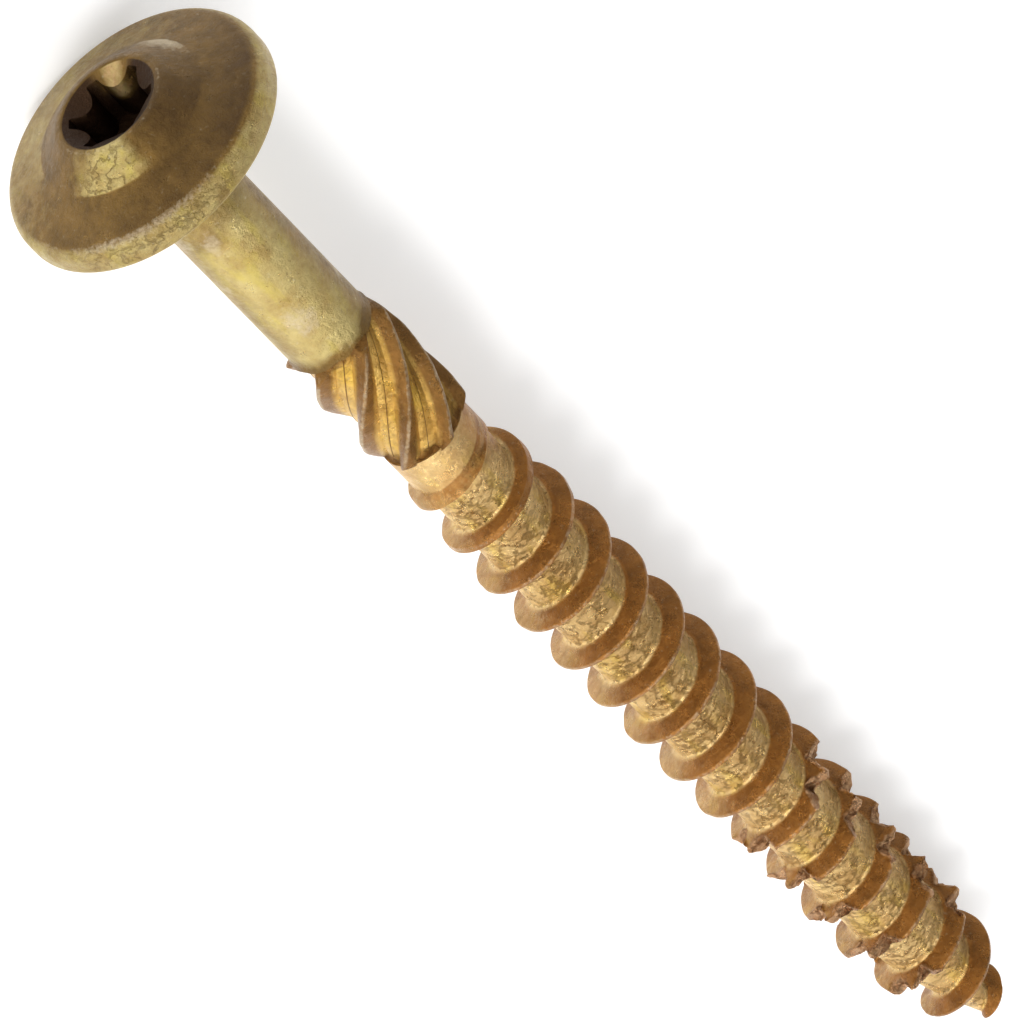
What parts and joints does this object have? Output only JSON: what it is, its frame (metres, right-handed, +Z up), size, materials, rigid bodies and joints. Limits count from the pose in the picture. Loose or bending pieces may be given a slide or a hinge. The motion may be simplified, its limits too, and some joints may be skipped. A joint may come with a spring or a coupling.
{
  "type": "lag screw",
  "caption": "Structural lag screw for timber: domed washer head with a six-lobe socket, plain shank, ribbed reamer and coarse thread, notched towards its gimlet point.",
  "frame": {"origin": "on the screw's axis, in the plane of the bearing face under the flange", "axes": "the screw lies as it rests on a level surface: +X runs along it from head to point, with the axis dipping 3.42 degrees below +X, +Z is up"},
  "size_m": [0.0956, 0.0175, 0.0175],
  "materials": {
    "plated_steel": "yellow chromate over zinc plate, worn and stained"
  },
  "bodies": {
    "root": {"lag_screw": "plated_steel"}
  },
  "joints": []
}
